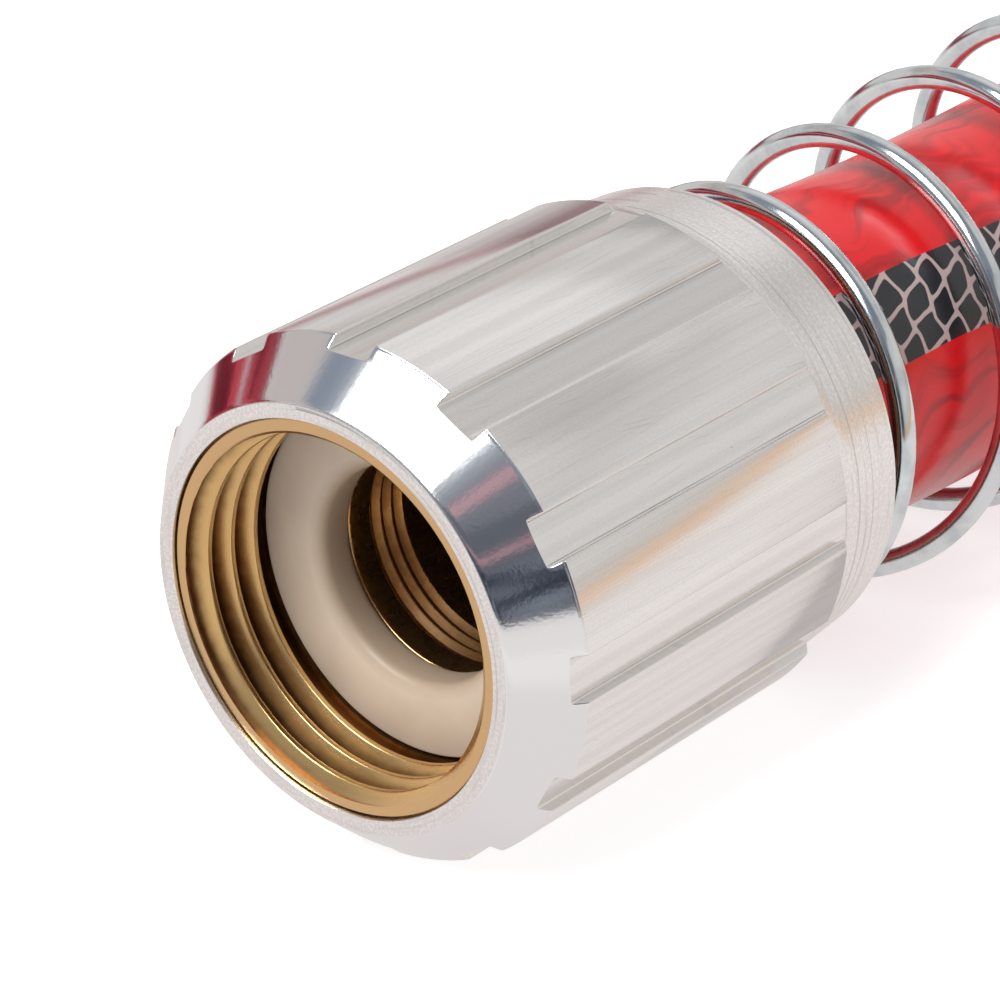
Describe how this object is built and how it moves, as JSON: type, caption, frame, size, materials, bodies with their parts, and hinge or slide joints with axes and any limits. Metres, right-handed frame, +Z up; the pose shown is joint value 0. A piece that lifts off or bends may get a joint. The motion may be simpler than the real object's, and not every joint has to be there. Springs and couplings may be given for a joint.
{
  "type": "water hose lead",
  "caption": "Short water hose lead laid in a coil: fluted aluminium tap coupling that turns on its brass stem, open spring bend guard, and a male threaded far end.",
  "frame": {"origin": "centre of the tap coupling's mouth, on its axis, in the plane of the grip's front rim", "axes": "+X along the coupling from its mouth to the hose, +Z up from the surface the lead lies on, -Y the side on which the coil lies"},
  "size_m": [0.3953, 0.3286, 0.0549],
  "materials": {
    "aluminium": "extruded, turned, satin with a polished chamfer",
    "brass": "machined",
    "washer_cream": "moulded soft washer, cream",
    "ferrule_brass": "crimped tube",
    "zinc_wire": "bright zinc plated spring wire",
    "hose_black": "extruded inner tube",
    "braid": "polyester braid",
    "hose_red": "glossy extruded cover with one black stripe that carries a pale net pattern",
    "tie_webbing": "woven hook and loop strap"
  },
  "bodies": {
    "hose": {"tail_stem": "brass", "crimp_ferrule": "ferrule_brass", "spring_guard": "zinc_wire", "hose_tube_near": "hose_black", "hose_braid_near": "braid", "hose_cover_near": "hose_red", "hose_tube_far": "hose_black", "hose_braid_far": "braid", "hose_cover_far": "hose_red", "hose_lead": "hose_red", "hose_coil": "hose_red", "hose_tail": "hose_red", "coil_tie": "tie_webbing", "male_stem": "brass", "male_ferrule": "ferrule_brass", "male_sleeve": "aluminium"},
    "coupling": {"grip_shell": "aluminium", "swivel_nut": "brass", "hose_washer": "washer_cream"}
  },
  "joints": [
    {"name": "coupling_swivel", "type": "hinge", "parent": "hose", "child": "coupling", "pos_m": [0.0122, 0, 0], "axis": [1, 0, 0], "continuous": true}
  ]
}
